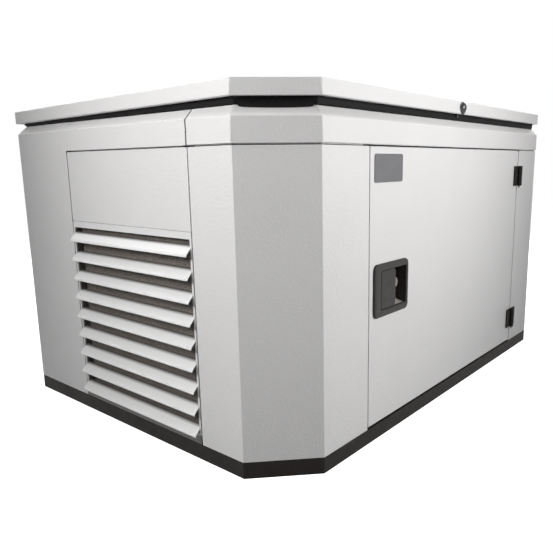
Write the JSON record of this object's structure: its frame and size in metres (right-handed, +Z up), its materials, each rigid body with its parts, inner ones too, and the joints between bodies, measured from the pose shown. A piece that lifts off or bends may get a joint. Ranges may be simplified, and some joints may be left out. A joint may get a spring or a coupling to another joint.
{
  "type": "home standby generator",
  "caption": "Chamfered sheet-metal standby generator enclosure with hinged lid, latched front door and louvred ends around a V-twin engine and alternator.",
  "frame": {"origin": "middle of the base's underside, on the ground", "axes": "+X along the length, away from the louvred left end; -Y to the front with the door; +Z up"},
  "size_m": [1.281, 0.8753, 0.7],
  "materials": {
    "cream_paint": "light cream powder coat with a fine orange-peel texture",
    "black_frame": "satin black powder coat",
    "black_plastic": "moulded black plastic",
    "charcoal_plastic": "charcoal moulded plastic, fine grain",
    "rubber": "matte black rubber",
    "acoustic_foam": "dark grey-brown open-cell acoustic foam",
    "zinc_steel": "zinc-plated steel",
    "cast_alloy": "cast aluminium, lightly blasted",
    "lacquered_steel": "laminated steel and lacquered windings",
    "plate_grey": "plain dark grey plate, print left off",
    "box_grey": "grey painted steel box",
    "red_plastic": "glossy red plastic"
  },
  "bodies": {
    "root": {"left_corner_panel": "cream_paint", "right_corner_panel": "cream_paint", "front_hood": "cream_paint", "left_hood_band": "cream_paint", "right_hood_band": "cream_paint", "rear_left_post": "cream_paint", "rear_right_post": "cream_paint", "rear_panel": "cream_paint", "left_end_panel": "cream_paint", "right_end_panel": "cream_paint", "left_louvre_panel": "cream_paint", "right_louvre_panel": "cream_paint", "base_frame": "black_frame", "engine_cradle": "black_frame", "lid_hinge_base_left": "black_frame", "lid_hinge_base_right": "black_frame", "door_hinge_base_upper": "black_frame", "door_hinge_base_lower": "black_frame", "battery": "black_plastic", "air_cleaner": "black_plastic", "blower_housing": "black_plastic", "oil_filter": "black_plastic", "lid_seal": "rubber", "rubber_mount_front_left": "rubber", "rubber_mount_front_right": "rubber", "rubber_mount_rear_left": "rubber", "rubber_mount_rear_right": "rubber", "fuel_hose": "rubber", "intake_baffle": "acoustic_foam", "partition": "zinc_steel", "muffler": "zinc_steel", "starter_motor": "zinc_steel", "crankcase": "cast_alloy", "cylinder_front": "cast_alloy", "cylinder_rear": "cast_alloy", "stator_housing": "cast_alloy", "alternator_end_bell": "cast_alloy", "carburettor": "cast_alloy", "fuel_regulator": "cast_alloy", "control_box": "box_grey"},
    "lid": {"lid": "cream_paint", "lid_liner": "acoustic_foam", "lid_hinge_leaf_left": "black_frame", "lid_hinge_leaf_right": "black_frame"},
    "lid_lock": {"lid_lock": "black_plastic"},
    "door": {"door_panel": "cream_paint", "door_liner": "acoustic_foam", "rating_plate": "plate_grey", "latch_housing": "charcoal_plastic", "door_hinge_leaf_upper": "black_frame", "door_hinge_leaf_lower": "black_frame"},
    "latch_paddle": {"latch_paddle": "charcoal_plastic"},
    "latch_bolt": {"latch_bolt": "zinc_steel"},
    "key_barrel": {"key_barrel": "zinc_steel"},
    "rotor": {"alternator_rotor": "lacquered_steel", "flywheel_fan": "zinc_steel"},
    "dipstick": {"dipstick": "black_plastic"},
    "stop_button": {"stop_button": "red_plastic"},
    "mode_switch": {"mode_switch": "black_plastic"},
    "breaker_toggle": {"breaker_toggle": "black_plastic"}
  },
  "joints": [
    {"name": "lid_hinge", "type": "hinge", "parent": "root", "child": "lid", "pos_m": [0, 0.4313, 0.656], "axis": [-1, 0, 0], "range_deg": [0, 80]},
    {"name": "lid_lock_turn", "type": "hinge", "parent": "lid", "child": "lid_lock", "pos_m": [0, -0.425, 0.686], "axis": [0, -1, 0], "range_deg": [0, 90]},
    {"name": "door_hinge", "type": "hinge", "parent": "root", "child": "door", "pos_m": [0.3834, -0.4293, 0.3], "axis": [0, 0, 1], "range_deg": [0, 115]},
    {"name": "latch_paddle_hinge", "type": "hinge", "parent": "door", "child": "latch_paddle", "pos_m": [-0.338, -0.4235, 0.314], "axis": [0, 0, -1], "range_deg": [0, 28], "stiffness_Nm_per_rad": 0.4, "springref_deg": -8.59},
    {"name": "latch_bolt_slide", "type": "slide", "parent": "door", "child": "latch_bolt", "axis": [1, 0, 0], "range_m": [0, 0.018]},
    {"name": "key_turn", "type": "hinge", "parent": "door", "child": "key_barrel", "pos_m": [-0.2755, -0.395, 0.32], "axis": [0, 1, 0], "range_deg": [0, 90]},
    {"name": "crankshaft_spin", "type": "hinge", "parent": "root", "child": "rotor", "pos_m": [0, 0.06, 0.235], "axis": [1, 0, 0], "continuous": true},
    {"name": "dipstick_pull", "type": "slide", "parent": "root", "child": "dipstick", "axis": [0, 0, 1], "range_m": [0, 0.2]},
    {"name": "stop_button_press", "type": "slide", "parent": "root", "child": "stop_button", "axis": [0, 1, 0], "range_m": [0, 0.005], "stiffness_N_per_m": 600, "springref_m": -0.002},
    {"name": "mode_switch_turn", "type": "hinge", "parent": "root", "child": "mode_switch", "pos_m": [-0.022, -0.385, 0.495], "axis": [0, -1, 0], "range_deg": [-45, 45]},
    {"name": "breaker_toggle_tilt", "type": "hinge", "parent": "root", "child": "breaker_toggle", "pos_m": [0.2264, -0.375, 0.495], "axis": [-1, 0, 0], "range_deg": [0, 40]}
  ],
  "couplings": [
    {"joint": "latch_bolt_slide", "follows": "latch_paddle_hinge", "m_per_rad": 0.0365}
  ]
}
